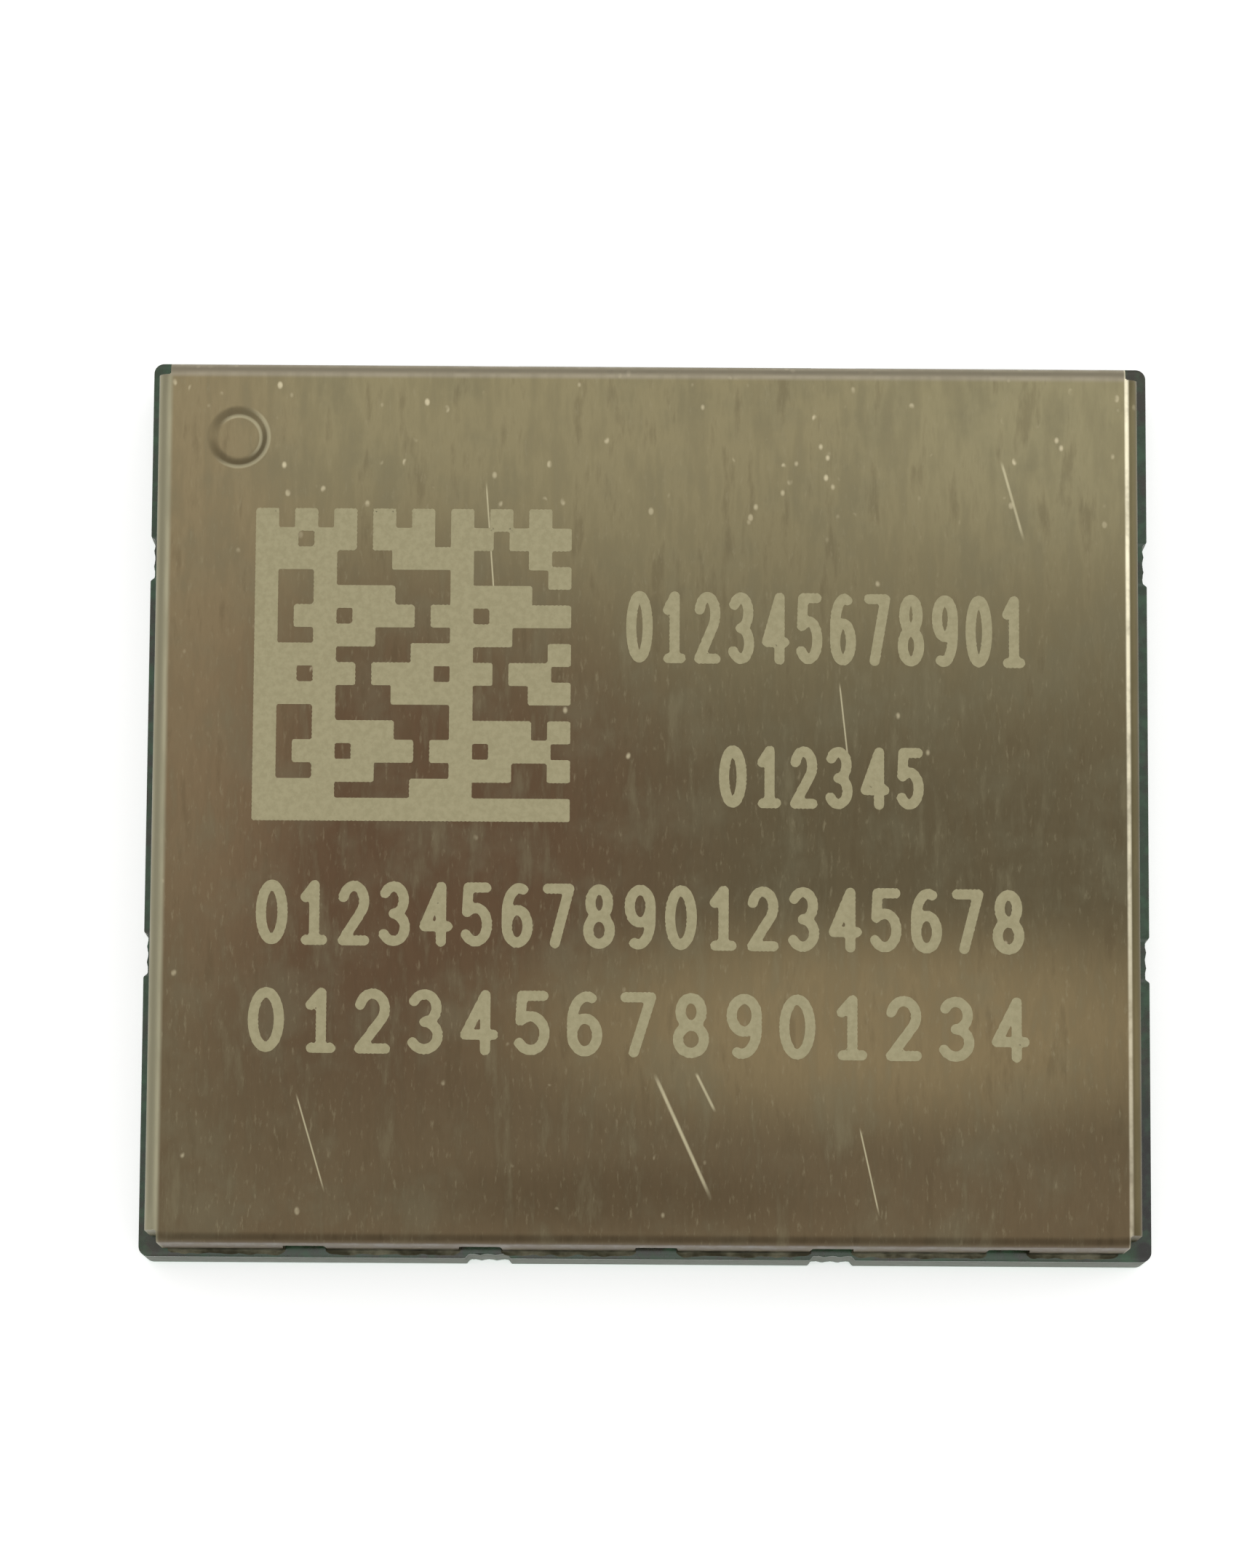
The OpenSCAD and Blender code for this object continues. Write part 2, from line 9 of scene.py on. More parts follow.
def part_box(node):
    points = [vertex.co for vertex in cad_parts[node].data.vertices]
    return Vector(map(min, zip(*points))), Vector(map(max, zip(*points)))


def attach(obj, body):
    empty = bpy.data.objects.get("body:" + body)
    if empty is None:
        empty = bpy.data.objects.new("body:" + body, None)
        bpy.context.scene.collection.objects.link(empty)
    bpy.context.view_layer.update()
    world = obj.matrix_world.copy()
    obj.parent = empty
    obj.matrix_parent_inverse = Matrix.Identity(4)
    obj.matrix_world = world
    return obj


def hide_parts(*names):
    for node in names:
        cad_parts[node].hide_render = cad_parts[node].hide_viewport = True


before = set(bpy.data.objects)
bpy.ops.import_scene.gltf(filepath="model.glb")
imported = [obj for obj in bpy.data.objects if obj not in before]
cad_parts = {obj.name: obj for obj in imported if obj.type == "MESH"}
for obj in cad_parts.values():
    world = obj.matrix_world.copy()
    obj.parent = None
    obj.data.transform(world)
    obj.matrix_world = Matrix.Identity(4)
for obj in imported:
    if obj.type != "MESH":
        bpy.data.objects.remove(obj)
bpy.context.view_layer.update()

# All shapes are drawn in millimetres in the row frame, and made in metres by finished().
MM = 0.001


def node_box(node):
    lo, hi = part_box(node)
    return lo / MM, hi / MM


BOARD_LO, BOARD_HI = node_box("circuit_board")
CAN_LO, CAN_HI = node_box("shield_can")

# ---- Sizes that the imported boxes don't give, in millimetres, as in the part's source ----

SHEET_T = 0.1
BEND_R = 0.01
OUTER_BEND = SHEET_T + BEND_R
CORNER_RELIEF = 0.01
NOTCH_W = 0.4
NOTCH_H = 0.45
LONG_NOTCHES = [0.13 + (i - 2) * 1.73 for i in range(5)]
SHORT_NOTCHES = [-0.47 + (i - 1.5) * 2 for i in range(4)]
DIMPLE_FROM_LEFT = 0.8
DIMPLE_FROM_BACK = 0.75
DIMPLE_R = 0.3
DIMPLE_FLOOR_R = 0.22
DIMPLE_DEPTH = 0.06
BOARD_CORNER_R = 0.1
SCAR_W = 0.46
SCAR_DEPTH = 0.045
LONG_SCARS = [-1.55, 1.85]
SHORT_SCARS = [-1.5, 2.5]
LAND_COLUMNS = 8
LAND_ROWS = 7
LAND_PITCH = 1.27
LAND_R = 0.26
LAND_T = 0.03
LAND_RING = 0.03
KEY_LEG = 0.31
KEY_INSET = (0.1, 0.15)
VIA_R = 0.085
VIA_DEPTH = 0.015
SOLDER_T = 0.03
SOLDER_TOE = 0.05
SOLDER_CLIMB = 0.08
CODE_CELLS = 16
CODE_SIDE = 3.09
CODE_AT = (-2.31, 1.34)

CAN_W = CAN_HI.x - CAN_LO.x
CAN_D = CAN_HI.y - CAN_LO.y
CAN_AT = ((CAN_LO.x + CAN_HI.x) / 2, (CAN_LO.y + CAN_HI.y) / 2)
CAN_TOP = CAN_HI.z
FOOT_Z = CAN_LO.z
BOARD_W = BOARD_HI.x - BOARD_LO.x
BOARD_D = BOARD_HI.y - BOARD_LO.y
BOARD_T = BOARD_HI.z
TOP_X = CAN_W / 2 - OUTER_BEND
TOP_Y = CAN_D / 2 - OUTER_BEND
LONG_WALL_X = TOP_X - CORNER_RELIEF
SHORT_WALL_Y = TOP_Y - CORNER_RELIEF
# The can, its marks and its solder are drawn round the can's own middle.
DIMPLE_AT = (DIMPLE_FROM_LEFT - CAN_W / 2, CAN_D / 2 - DIMPLE_FROM_BACK)

# ---- Mesh helpers ----


def finished(name, mesh, material, replaced=(), modifiers=(), smooth_deg=35, at=(0, 0)):
    """A piece from a mesh or bmesh in millimetres round a middle, with its modifiers applied."""
    if isinstance(mesh, bmesh.types.BMesh):
        made = bpy.data.meshes.new(name)
        mesh.to_mesh(made)
        mesh.free()
        mesh = made
    piece = bpy.data.objects.new(name, mesh)
    bpy.context.scene.collection.objects.link(piece)
    if modifiers:
        for kind, settings in modifiers:
            modifier = piece.modifiers.new(kind.lower(), kind)
            for key, value in settings.items():
                setattr(modifier, key, value)
        graph = bpy.context.evaluated_depsgraph_get()
        applied = bpy.data.meshes.new_from_object(piece.evaluated_get(graph))
        piece.modifiers.clear()
        piece.data = applied
    piece.data.transform(Matrix.Scale(MM, 4) @ Matrix.Translation((*at, 0)))
    piece.data.shade_smooth()
    piece.data.set_sharp_from_angle(angle=math.radians(smooth_deg))
    piece.data.materials.clear()
    for one in material if isinstance(material, list) else [material]:
        piece.data.materials.append(one)
    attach(piece, "root")
    if replaced:
        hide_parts(*replaced)
    return piece


class Welder:
    """A bmesh whose vertices are found again by their place, so that patches join."""

    def __init__(self):
        self.bm = bmesh.new()
        self.found = {}

    def vertex(self, co):
        key = tuple(round(c, 5) for c in co)
        if key not in self.found:
            self.found[key] = self.bm.verts.new(co)
        return self.found[key]

    def face(self, points, slot=0):
        corners = []
        for p in points:
            v = self.vertex(p)
            if v not in corners:
                corners.append(v)
        if len(corners) > 2:
            try:
                face = self.bm.faces.new(corners)
                face.material_index = slot
            except ValueError:
                pass


def grid_lines(lo, hi, step, fixed):
    """Lines about a step apart from lo to hi, with the fixed ones exactly in place."""
    stops = sorted({round(v, 5) for v in [lo, hi, *fixed] if lo <= v <= hi})
    lines = [stops[0]]
    for a, b in zip(stops, stops[1:]):
        n = max(1, round((b - a) / step))
        lines += [a + (b - a) * (i + 1) / n for i in range(n)]
    return lines


def smooth(t):
    t = min(max(t, 0.0), 1.0)
    return t * t * (3 - 2 * t)


# ---- Shield can ----

BEND_STEPS = 10
NOTCH_CORNER = 0.05
NOTCH_SLANT = 0.02
SHEET_WAVE = 0.003


def sheet_height(x, y):
    """The top face, barely out of flat, with the dimple pressed into it."""
    wave = math.sin(0.9 * x + 1.3) * math.sin(0.75 * y + 0.4) + 0.5 * math.sin(1.7 * x - 1.1 * y)
    edge = smooth(2.5 * min(TOP_X - abs(x), TOP_Y - abs(y)))
    z = CAN_TOP + SHEET_WAVE * edge * (wave - 1.5)
    r = math.hypot(x - DIMPLE_AT[0], y - DIMPLE_AT[1])
    soft = 0.02
    z -= DIMPLE_DEPTH * smooth((DIMPLE_R + soft - r) / (DIMPLE_R - DIMPLE_FLOOR_R + 2 * soft))
    return z


def dimple_lines(centre):
    reach = DIMPLE_R + 0.04
    n = 34
    return [centre - reach + 2 * reach * i / n for i in range(n + 1)]


def wall_profile():
    """Outward offset from the flat and height, from the top edge down to the foot."""
    rows = []
    for i in range(BEND_STEPS + 1):
        a = math.pi / 2 * i / BEND_STEPS
        rows.append((OUTER_BEND * math.sin(a), CAN_TOP - OUTER_BEND * (1 - math.cos(a))))
    notch_top = FOOT_Z + NOTCH_H
    for z in [notch_top + 0.12, notch_top, notch_top - NOTCH_CORNER, notch_top - 0.2, FOOT_Z]:
        rows.append((OUTER_BEND, z))
    return rows


def wall_point(s, z, notches):
    """A place along a wall, pushed aside where it lies on the slanted side of a notch."""
    for c in notches:
        for side in (-1, 1):
            if abs(s - (c + side * NOTCH_W / 2)) < 1e-4 and z < FOOT_Z + NOTCH_H - 1e-4:
                share = (FOOT_Z + NOTCH_H - z) / NOTCH_H
                return s + side * NOTCH_SLANT * share
    return s


def wall_cells(weld, stations, notches, place):
    """One wall and its bend. place(s, offset, z) turns wall coordinates into a point."""
    rows = wall_profile()
    notch_top = FOOT_Z + NOTCH_H
    for (o1, z1), (o2, z2) in zip(rows, rows[1:]):
        for s1, s2 in zip(stations, stations[1:]):
            middle = (s1 + s2) / 2
            near = [c for c in notches if abs(middle - c) < NOTCH_W / 2]
            if near and (z1 + z2) / 2 < notch_top:
                if z1 > notch_top - 1e-6:
                    notch_corner_cell(weld, s1, s2, z1, z2, near[0], place)
                continue
            quad = [(s1, o1, z1), (s1, o2, z2), (s2, o2, z2), (s2, o1, z1)]
            weld.face([place(wall_point(s, z, notches), o, z) for s, o, z in quad])


def notch_corner_cell(weld, s1, s2, z1, z2, centre, place):
    """The rounded corner at the top of a notch, where the cell lies in that corner."""
    for side in (-1, 1):
        edge = centre + side * NOTCH_W / 2
        inner = edge - side * NOTCH_CORNER
        if abs(min(s1, s2) - min(edge, inner)) > 1e-4:
            continue
        middle = (inner, z1 - NOTCH_CORNER)
        arc = []
        for i in range(7):
            a = math.pi / 2 * i / 6
            arc.append((middle[0] + side * NOTCH_CORNER * math.cos(a), middle[1] + NOTCH_CORNER * math.sin(a)))
        arc[0] = (wall_point(edge, z2, [centre]), z2)
        outline = [(edge, z1), *arc]
        if side > 0:
            outline.reverse()
        weld.face([place(s, OUTER_BEND, z) for s, z in outline])


def can_piece(material):
    weld = Welder()
    edges = lambda notches: [
        c + side * d for c in notches for side in (-1, 1) for d in (NOTCH_W / 2, NOTCH_W / 2 - NOTCH_CORNER)
    ]
    xs = grid_lines(-TOP_X, TOP_X, 0.24, [-LONG_WALL_X, LONG_WALL_X, *edges(LONG_NOTCHES), *dimple_lines(DIMPLE_AT[0])])
    ys = grid_lines(-TOP_Y, TOP_Y, 0.24, [-SHORT_WALL_Y, SHORT_WALL_Y, *edges(SHORT_NOTCHES), *dimple_lines(DIMPLE_AT[1])])
    for x1, x2 in zip(xs, xs[1:]):
        for y1, y2 in zip(ys, ys[1:]):
            weld.face([(x, y, sheet_height(x, y)) for x, y in ((x1, y1), (x2, y1), (x2, y2), (x1, y2))])
    long_stations = [x for x in xs if abs(x) <= LONG_WALL_X + 1e-4]
    short_stations = [y for y in ys if abs(y) <= SHORT_WALL_Y + 1e-4]
    wall_cells(weld, long_stations, LONG_NOTCHES, lambda s, o, z: (s, -TOP_Y - o, z))
    wall_cells(weld, long_stations[::-1], LONG_NOTCHES, lambda s, o, z: (s, TOP_Y + o, z))
    wall_cells(weld, short_stations, SHORT_NOTCHES, lambda s, o, z: (TOP_X + o, s, z))
    wall_cells(weld, short_stations[::-1], SHORT_NOTCHES, lambda s, o, z: (-TOP_X - o, s, z))
    bmesh.ops.recalc_face_normals(weld.bm, faces=weld.bm.faces)
    if sum(f.normal.z * f.calc_area() for f in weld.bm.faces) < 0:
        bmesh.ops.reverse_faces(weld.bm, faces=weld.bm.faces)
    modifiers = [
        ("SOLIDIFY", {"thickness": SHEET_T, "offset": -1, "use_even_offset": True}),
        ("BEVEL", {"width": 0.008, "segments": 2, "limit_method": "ANGLE", "angle_limit": math.radians(50)}),
    ]
    finished("shield_can_sheet", weld.bm, material, ["shield_can"], modifiers, at=CAN_AT)


# ---- Laser marks: a made-up code field and rows of counting digits ----

MARK_LIFT = 0.003
MARK_DEPTH = 0.006
MARK_STEP = 0.02
MARK_BORDER = 0.026
CELL_BLEED = 0.018
STROKE_HALF = 0.05
HATCH = 140


def hatched(field, xs, ys):
    """The field with the uneven rim that the laser's rows of spots leave."""
    return field + 0.005 * np.sin(HATCH * xs + 1.7) * np.sin(HATCH * ys)


def clipped(points, level, below):
    """The part of a polygon of (x, y, field) points on one side of a level of the field."""
    kept = []
    for p, q in zip(points, points[1:] + points[:1]):
        a, b = p[2] - level, q[2] - level
        if not below:
            a, b = -a, -b
        if a < 0:
            kept.append(p)
        if (a < 0) != (b < 0):
            kept.append(tuple(u + (v - u) * a / (a - b) for u, v in zip(p, q)))
    return kept


def marked_faces(weld, xs, ys, field):
    """Faces where the field is below 0: slot 0 inside, and slot 1 along the border."""
    lowest = np.minimum(np.minimum(field[:-1, :-1], field[1:, :-1]), np.minimum(field[:-1, 1:], field[1:, 1:]))
    for i, j in np.argwhere(lowest < 0):
        quad = [(xs[a], ys[b], field[a, b]) for a, b in ((i, j), (i + 1, j), (i + 1, j + 1), (i, j + 1))]
        inner = clipped(quad, -MARK_BORDER, True)
        border = clipped(clipped(quad, 0.0, True), -MARK_BORDER, False)
        for slot, patch in ((0, inner), (1, border)):
            weld.face([(x, y, sheet_height(x, y) + MARK_LIFT) for x, y, _ in patch], slot)


def marks_piece(name, weld, materials):
    """Thin marks with an edge all round that sinks into the sheet."""
    bm = weld.bm
    for face in bm.faces:
        face.normal_update()
        if face.normal.z < 0:
            face.normal_flip()
    rim = [edge for edge in bm.edges if edge.is_boundary]
    made = bmesh.ops.extrude_edge_only(bm, edges=rim)
    lowered = [v for v in made["geom"] if isinstance(v, bmesh.types.BMVert)]
    bmesh.ops.translate(bm, verts=lowered, vec=(0, 0, -MARK_DEPTH))
    finished(name, bm, materials, ["laser_marking"], (), 60, CAN_AT)


def cell_is_marked(i, j):
    last = CODE_CELLS - 1
    if i == 0 or j == 0:
        return True
    if i == last:
        return j % 2 == 0
    if j == last:
        return i % 2 == 0
    return (i * i + 3 * i * j + 5 * j) % 7 < 3


def cell_distance(xs, ys, wanted):
    """Distance to the nearest cell of the code field that is marked, or that isn't."""
    pitch = CODE_SIDE / CODE_CELLS
    state = np.zeros((CODE_CELLS + 2, CODE_CELLS + 2), bool)
    for i in range(CODE_CELLS):
        for j in range(CODE_CELLS):
            state[i + 1, j + 1] = cell_is_marked(i, j)
    column = np.clip(np.floor(xs / pitch).astype(int), 0, CODE_CELLS - 1)
    row = np.clip(np.floor(ys / pitch).astype(int), 0, CODE_CELLS - 1)
    nearest = np.full(xs.shape, pitch)
    for di in (-1, 0, 1):
        for dj in (-1, 0, 1):
            i, j = column + di, row + dj
            dx = np.maximum(np.maximum(i * pitch - xs, xs - (i + 1) * pitch), 0)
            dy = np.maximum(np.maximum(j * pitch - ys, ys - (j + 1) * pitch), 0)
            found = state[i + 1, j + 1] == wanted
            nearest = np.where(found, np.minimum(nearest, np.hypot(dx, dy)), nearest)
    return nearest


def code_piece(materials):
    margin = 2 * CELL_BLEED
    line = np.arange(-margin, CODE_SIDE + margin, MARK_STEP)
    xs, ys = np.meshgrid(line, line, indexing="ij")
    field = cell_distance(xs, ys, True) - cell_distance(xs, ys, False) - CELL_BLEED
    weld = Welder()
    left, lower = CODE_AT[0] - CODE_SIDE / 2, CODE_AT[1] - CODE_SIDE / 2
    marked_faces(weld, line + left, line + lower, hatched(field, xs, ys))
    marks_piece("code_marks", weld, materials)


def arc(cx, cy, rx, ry, a, b, n=12):
    turns = [math.radians(a + (b - a) * i / n) for i in range(n + 1)]
    return [(cx + rx * math.cos(t), cy + ry * math.sin(t)) for t in turns]


# Strokes of the ten digits in a box 0.6 wide and 1 high.
DIGITS = {
    0: [arc(0.3, 0.5, 0.27, 0.5, 90, 450, 24)],
    1: [[(0.12, 0.78), (0.34, 1.0), (0.34, 0.0)], [(0.14, 0.0), (0.54, 0.0)]],
    2: [arc(0.3, 0.72, 0.26, 0.28, 165, -40) + [(0.04, 0.0), (0.57, 0.0)]],
    3: [arc(0.28, 0.75, 0.25, 0.25, 150, -90) + arc(0.28, 0.25, 0.28, 0.25, 90, -150)],
    4: [[(0.44, 0.0), (0.44, 1.0), (0.03, 0.28), (0.6, 0.28)]],
    5: [[(0.54, 1.0), (0.1, 1.0), (0.07, 0.55)] + arc(0.28, 0.32, 0.29, 0.31, 120, -145)],
    6: [arc(0.34, 0.55, 0.3, 0.45, 70, 180) + arc(0.3, 0.3, 0.26, 0.3, 180, 540, 18)],
    7: [[(0.04, 1.0), (0.57, 1.0), (0.22, 0.0)]],
    8: [arc(0.3, 0.75, 0.22, 0.25, -90, 270, 16), arc(0.3, 0.25, 0.27, 0.25, 90, 450, 18)],
    9: [arc(0.3, 0.7, 0.26, 0.3, 0, 360, 18) + arc(0.26, 0.45, 0.3, 0.45, 0, -110)],
}

# Each row of digits: left end, right end, lower edge, height and number of digits.
DIGIT_ROWS = [
    (-0.24, 3.78, 1.37, 0.72, 12),
    (0.68, 2.77, -0.07, 0.62, 6),
    (-3.86, 3.76, -1.45, 0.64, 19),
    (-3.96, 3.83, -2.51, 0.64, 15),
]
DIGIT_LINE_DROP = -0.008
DIGIT_W = 0.6


def stroke_distance(xs, ys, points):
    """Distance from each grid point to a stroke's middle line."""
    nearest = np.full(xs.shape, np.inf)
    for (ax, ay), (bx, by) in zip(points, points[1:]):
        dx, dy = bx - ax, by - ay
        length_squared = max(dx * dx + dy * dy, 1e-12)
        along = np.clip(((xs - ax) * dx + (ys - ay) * dy) / length_squared, 0, 1)
        nearest = np.minimum(nearest, np.hypot(xs - ax - along * dx, ys - ay - along * dy))
    return nearest


def digit_faces(weld, digit, left, lower, width, height):
    margin = 2 * MARK_STEP
    line_x = np.arange(left - margin, left + width + margin, MARK_STEP)
    line_y = np.arange(lower - margin, lower + height + margin, MARK_STEP)
    xs, ys = np.meshgrid(line_x, line_y, indexing="ij")
    field = np.full(xs.shape, np.inf)
    for stroke in DIGITS[digit]:
        placed = [
            (
                left + STROKE_HALF + px / DIGIT_W * (width - 2 * STROKE_HALF),
                lower + STROKE_HALF + py * (height - 2 * STROKE_HALF),
            )
            for px, py in stroke
        ]
        field = np.minimum(field, stroke_distance(xs, ys, placed))
    marked_faces(weld, line_x, line_y, hatched(field - STROKE_HALF, xs, ys))


def digits_piece(materials):
    weld = Welder()
    for left, right, lower, height, n in DIGIT_ROWS:
        pitch = (right - left) / n
        width = min(DIGIT_W * height, 0.84 * pitch)
        for i in range(n):
            start = i * pitch + (pitch - width) / 2
            digit_faces(weld, i % 10, left + start, lower + DIGIT_LINE_DROP * start, width, height)
    marks_piece("digit_marks", weld, materials)


# ---- Circuit board ----

MASK_T = LAND_T
ROUND_STEPS = 64


def circle_points(x, y, r, n=ROUND_STEPS):
    return [(x + r * math.cos(2 * math.pi * i / n), y + r * math.sin(2 * math.pi * i / n)) for i in range(n)]


def scar_points(rng):
    """The broken edge across one tab, from left to right, below a front edge at 0."""
    points = []
    n = 40
    for i in range(n + 1):
        s = i / n
        x = SCAR_W * (s - 0.5)
        shoulder = smooth(s / 0.09) * smooth((1 - s) / 0.09)
        bite = 0.72 + 0.28 * abs(math.sin(3 * math.pi * s))
        points.append((x, SCAR_DEPTH * shoulder * bite * rng.uniform(0.93, 1.0)))
    return points


def board_outline(rng):
    """The board's edge, counter-clockwise, with rounded corners and the scars of its tabs."""
    r = BOARD_CORNER_R
    points = []
    sides = [
        (0, BOARD_W / 2, BOARD_D / 2, LONG_SCARS),
        (90, BOARD_D / 2, BOARD_W / 2, SHORT_SCARS),
        (180, BOARD_W / 2, BOARD_D / 2, [-x for x in LONG_SCARS]),
        (270, BOARD_D / 2, BOARD_W / 2, [-y for y in SHORT_SCARS]),
    ]
    for turn, half, depth, scars in sides:
        c, s = math.cos(math.radians(turn)), math.sin(math.radians(turn))
        edge = [(-half + r + (2 * half - 2 * r) * i / 60, 0.0) for i in range(61)]
        edge = [p for p in edge if all(abs(p[0] - x) > SCAR_W / 2 + 0.01 for x in scars)]
        for x in scars:
            edge += [(x + dx, dy) for dx, dy in scar_points(rng)]
        edge.sort()
        edge += [(half - r + r * math.sin(a), r - r * math.cos(a)) for a in (math.pi / 2 * i / 10 for i in range(1, 10))]
        for x, y in edge:
            y -= depth
            points.append((c * x - s * y, s * x + c * y))
    return points


def plate_mesh(name, outline, holes, z_lo, z_hi, bevel):
    """A plate with holes, by Blender's filled curve, with its rims softened."""
    curve = bpy.data.curves.new(name, "CURVE")
    curve.dimensions = "2D"
    curve.fill_mode = "BOTH"
    for ring in [outline, *holes]:
        spline = curve.splines.new("POLY")
        spline.points.add(len(ring) - 1)
        for point, (x, y) in zip(spline.points, ring):
            point.co = (x, y, 0, 1)
        spline.use_cyclic_u = True
    curve.extrude = (z_hi - z_lo) / 2 - bevel
    curve.bevel_depth = bevel
    curve.bevel_resolution = 1
    curve.offset = -bevel
    holder = bpy.data.objects.new(name, curve)
    bpy.context.scene.collection.objects.link(holder)
    graph = bpy.context.evaluated_depsgraph_get()
    mesh = bpy.data.meshes.new_from_object(holder.evaluated_get(graph))
    bpy.data.objects.remove(holder)
    bpy.data.curves.remove(curve)
    mesh.transform(Matrix.Translation((0, 0, (z_lo + z_hi) / 2)))
    bm = bmesh.new()
    bm.from_mesh(mesh)
    bmesh.ops.remove_doubles(bm, verts=bm.verts, dist=1e-4)
    bmesh.ops.recalc_face_normals(bm, faces=bm.faces)
    return bm


def land_places():
    for i in range(LAND_COLUMNS):
        for j in range(LAND_ROWS):
            yield ((i - (LAND_COLUMNS - 1) / 2) * LAND_PITCH, (j - (LAND_ROWS - 1) / 2) * LAND_PITCH)


def via_places():
    """Filled vias, as in the part's source: between the lands, those of the rim nearer to the edge in turn."""
    edge_x = (LAND_COLUMNS - 1) / 2 * LAND_PITCH
    edge_y = (LAND_ROWS - 1) / 2 * LAND_PITCH
    step = LAND_R
    for side in (-1, 1):
        for i in range(1, LAND_COLUMNS):
            yield ((i - LAND_COLUMNS / 2) * LAND_PITCH, side * (edge_y + (i % 2) * step))
        for j in range(1, LAND_ROWS):
            yield (side * (edge_x + (j % 2) * step / 2), (j - LAND_ROWS / 2) * LAND_PITCH)
    for i in range(1, LAND_COLUMNS):
        for j in range(1, LAND_ROWS):
            if (i + j) % 2 == 0:
                yield ((i - LAND_COLUMNS / 2) * LAND_PITCH, (j - LAND_ROWS / 2) * LAND_PITCH)


def key_points(grow):
    x = BOARD_LO.x + KEY_INSET[0] - grow
    y = BOARD_HI.y - KEY_INSET[1] + grow
    leg = KEY_LEG + (2 + math.sqrt(2)) * grow
    return [(x, y), (x, y - leg), (x + leg, y)]


def board_pieces(laminate, mask):
    rng = np.random.default_rng(11)
    outline = board_outline(rng)
    openings = [circle_points(x, y, LAND_R + LAND_RING) for x, y in land_places()]
    openings.append(key_points(LAND_RING))
    vias = [circle_points(x, y, VIA_R, 24) for x, y in via_places()]
    core = plate_mesh("core", outline, [], MASK_T, BOARD_T - MASK_T, 0.002)
    finished("board_laminate", core, laminate, ["circuit_board"])
    under = plate_mesh("under", outline, openings + vias, 0, MASK_T, 0.004)
    finished("board_mask_below", under, mask, ["circuit_board"])
    over = plate_mesh("over", outline, [], BOARD_T - MASK_T, BOARD_T, 0.004)
    finished("board_mask_above", over, mask, ["circuit_board"])
    finished("via_fillings", via_dishes(), mask, ["circuit_board"])


def revolved(weld, at, profile, n):
    """Faces of a profile of (radius, height) turned about an upright axis."""
    for (r1, z1), (r2, z2) in zip(profile, profile[1:]):
        for k in range(n):
            a, b = 2 * math.pi * k / n, 2 * math.pi * (k + 1) / n
            quad = [(r1, a, z1), (r1, b, z1), (r2, b, z2), (r2, a, z2)]
            weld.face([(at[0] + r * math.cos(t), at[1] + r * math.sin(t), z) for r, t, z in quad])


def via_dishes():
    weld = Welder()
    profile = [(VIA_R * c, 0.001 + VIA_DEPTH * (1 - c * c)) for c in (1, 0.85, 0.65, 0.4, 0.15)]
    profile = [(VIA_R, MASK_T - 0.003), *profile, (0.0, 0.001 + VIA_DEPTH)]
    closing = [(VIA_R, MASK_T - 0.003), (0.0, MASK_T - 0.003)]
    for at in via_places():
        revolved(weld, at, profile, 24)
        revolved(weld, at, closing, 24)
    bmesh.ops.recalc_face_normals(weld.bm, faces=weld.bm.faces)
    return weld.bm


def lands_piece(material):
    weld = Welder()
    soft = 0.006
    profile = [(0.0, 0.0005), (LAND_R * 0.7, 0.0003), (LAND_R - 2 * soft, 0.0), (LAND_R - soft, 0.001)]
    profile += [(LAND_R - 0.3 * soft, 0.4 * soft), (LAND_R, soft), (LAND_R, LAND_T), (0.0, LAND_T)]
    for at in land_places():
        revolved(weld, at, profile, ROUND_STEPS)
    bmesh.ops.recalc_face_normals(weld.bm, faces=weld.bm.faces)
    finished("land_discs", weld.bm, material, ["lands"])


# ---- Solder along the can's feet ----

FILLET_STEP = 0.035


def fillet_section(toe, climb, side):
    """Half a fillet's outline from the sheet's middle to its toe and up the wall's face."""
    top = [(side * SHEET_T / 2, climb)]
    for i in range(1, 6):
        a = math.pi / 2 * i / 6
        top.append((side * (SHEET_T / 2 + toe * (1 - math.cos(a))), climb * (1 - math.sin(a))))
    return [*top, (side * (SHEET_T / 2 + toe), 0.0)]


def fillet_run(weld, place, start, end, rng):
    """One run of solder that wets both faces of a foot, lumpy along its length."""
    n = max(4, round((end - start) / FILLET_STEP))
    lumps = np.convolve(rng.uniform(-1, 1, n + 5), [0.25, 0.5, 0.25], "same")[: n + 1]
    rings = []
    for i in range(n + 1):
        s = start + (end - start) * i / n
        taper = min(1.0, 0.35 + 2.5 * min(i, n - i) * (end - start) / n / 0.2)
        toe = SOLDER_TOE * taper * (1 + 0.35 * lumps[i])
        climb = SOLDER_CLIMB * taper * (1 + 0.3 * lumps[i])
        outer = fillet_section(toe, climb, -1)
        inner = fillet_section(toe, climb, 1)
        ring = outer[::-1] + [(-SHEET_T / 2, SOLDER_T), (SHEET_T / 2, SOLDER_T)] + inner
        rings.append([place(s, o, z) for o, z in ring])
    for a, b in zip(rings, rings[1:]):
        for k in range(len(a)):
            m = (k + 1) % len(a)
            weld.face([a[k], b[k], b[m], a[m]])
    weld.face(rings[0])
    weld.face(rings[-1][::-1])


